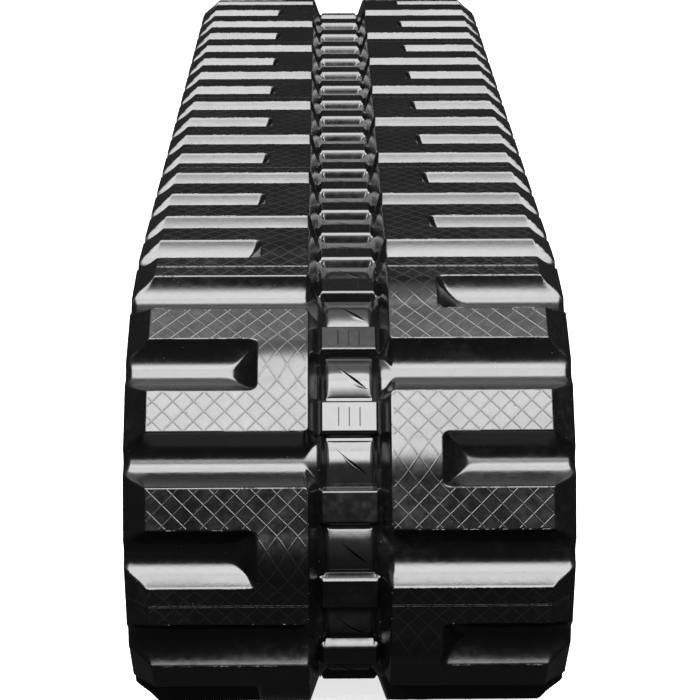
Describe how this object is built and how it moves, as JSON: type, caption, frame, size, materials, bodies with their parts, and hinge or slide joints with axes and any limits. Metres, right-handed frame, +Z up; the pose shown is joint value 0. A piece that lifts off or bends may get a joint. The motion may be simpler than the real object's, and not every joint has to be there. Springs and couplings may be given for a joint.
{
  "type": "rubber track",
  "caption": "Endless rubber track with C-shaped tread lugs, centre guide lugs, steel cores and cords, and drive windows for a sprocket.",
  "frame": {"origin": "on the ground under the centre of the loop", "axes": "+X across the track, +Y along the loop towards its rear end, +Z up"},
  "size_m": [0.45, 1.8264, 0.4919],
  "materials": {
    "belt_rubber": "moulded black rubber with a slight sheen",
    "tread_rubber": "moulded black rubber, glossy when new",
    "guide_rubber": "moulded black rubber",
    "film_rubber": "thin moulded black rubber",
    "core_steel": "forged steel, dark scale",
    "cord_steel": "brass plated stranded cord",
    "ply_fabric": "woven ply"
  },
  "bodies": {
    "bottom_run": {"bottom_run_belt": "belt_rubber", "bottom_run_tread_lugs": "tread_rubber", "bottom_run_cores": "core_steel", "bottom_run_cords": "cord_steel", "bottom_run_breaker_ply": "ply_fabric", "bottom_run_guide_lugs": "guide_rubber", "bottom_run_window_films": "film_rubber"},
    "front_lower": {"front_lower_belt": "belt_rubber", "front_lower_tread_lugs": "tread_rubber", "front_lower_cores": "core_steel", "front_lower_cords": "cord_steel", "front_lower_breaker_ply": "ply_fabric", "front_lower_guide_lugs": "guide_rubber", "front_lower_window_films": "film_rubber"},
    "front_nose": {"front_nose_belt": "belt_rubber", "front_nose_tread_lugs": "tread_rubber", "front_nose_cores": "core_steel", "front_nose_cords": "cord_steel", "front_nose_breaker_ply": "ply_fabric", "front_nose_guide_lugs": "guide_rubber", "front_nose_window_films": "film_rubber"},
    "front_upper": {"front_upper_belt": "belt_rubber", "front_upper_tread_lugs": "tread_rubber", "front_upper_cores": "core_steel", "front_upper_cords": "cord_steel", "front_upper_breaker_ply": "ply_fabric", "front_upper_guide_lugs": "guide_rubber", "front_upper_window_films": "film_rubber"},
    "top_run": {"top_run_belt": "belt_rubber", "top_run_tread_lugs": "tread_rubber", "top_run_cores": "core_steel", "top_run_cords": "cord_steel", "top_run_breaker_ply": "ply_fabric", "top_run_guide_lugs": "guide_rubber", "top_run_window_films": "film_rubber"},
    "rear_upper": {"rear_upper_belt": "belt_rubber", "rear_upper_tread_lugs": "tread_rubber", "rear_upper_cores": "core_steel", "rear_upper_cords": "cord_steel", "rear_upper_breaker_ply": "ply_fabric", "rear_upper_guide_lugs": "guide_rubber", "rear_upper_window_films": "film_rubber"},
    "rear_nose": {"rear_nose_belt": "belt_rubber", "rear_nose_tread_lugs": "tread_rubber", "rear_nose_cores": "core_steel", "rear_nose_cords": "cord_steel", "rear_nose_breaker_ply": "ply_fabric", "rear_nose_guide_lugs": "guide_rubber", "rear_nose_window_films": "film_rubber"},
    "rear_lower": {"rear_lower_belt": "belt_rubber", "rear_lower_tread_lugs": "tread_rubber", "rear_lower_cores": "core_steel", "rear_lower_cords": "cord_steel", "rear_lower_breaker_ply": "ply_fabric", "rear_lower_guide_lugs": "guide_rubber", "rear_lower_window_films": "film_rubber"}
  },
  "joints": [
    {"name": "front_ground_flex", "type": "hinge", "parent": "bottom_run", "child": "front_lower", "pos_m": [0, -0.74836, 0.05245], "axis": [1, 0, 0], "range_deg": [-6, 8], "stiffness_Nm_per_rad": 400, "springref_deg": -4.3},
    {"name": "front_lower_flex", "type": "hinge", "parent": "front_lower", "child": "front_nose", "pos_m": [0, -0.86765, 0.16968], "axis": [1, 0, 0], "range_deg": [-8, 6], "stiffness_Nm_per_rad": 400, "springref_deg": 4.3},
    {"name": "front_upper_flex", "type": "hinge", "parent": "front_nose", "child": "front_upper", "pos_m": [0, -0.84283, 0.33576], "axis": [1, 0, 0], "range_deg": [-8, 6], "stiffness_Nm_per_rad": 400, "springref_deg": 4.3},
    {"name": "front_top_flex", "type": "hinge", "parent": "front_upper", "child": "top_run", "pos_m": [0, -0.71174, 0.44096], "axis": [1, 0, 0], "range_deg": [-6, 8], "stiffness_Nm_per_rad": 400, "springref_deg": -4.3},
    {"name": "rear_top_flex", "type": "hinge", "parent": "top_run", "child": "rear_upper", "pos_m": [0, 0.74836, 0.43948], "axis": [1, 0, 0], "range_deg": [-6, 8], "stiffness_Nm_per_rad": 400, "springref_deg": -4.3},
    {"name": "rear_upper_flex", "type": "hinge", "parent": "rear_upper", "child": "rear_nose", "pos_m": [0, 0.86765, 0.32226], "axis": [1, 0, 0], "range_deg": [-8, 6], "stiffness_Nm_per_rad": 400, "springref_deg": 4.3},
    {"name": "rear_lower_flex", "type": "hinge", "parent": "rear_nose", "child": "rear_lower", "pos_m": [0, 0.84283, 0.15618], "axis": [1, 0, 0], "range_deg": [-8, 6], "stiffness_Nm_per_rad": 400, "springref_deg": 4.3}
  ],
  "couplings": [
    {"joint": "front_lower_flex", "follows": "front_ground_flex", "ratio": -1},
    {"joint": "front_upper_flex", "follows": "front_ground_flex", "ratio": -1},
    {"joint": "front_top_flex", "follows": "front_ground_flex", "ratio": 1},
    {"joint": "rear_top_flex", "follows": "front_ground_flex", "ratio": 1},
    {"joint": "rear_upper_flex", "follows": "front_ground_flex", "ratio": -1},
    {"joint": "rear_lower_flex", "follows": "front_ground_flex", "ratio": -1}
  ]
}
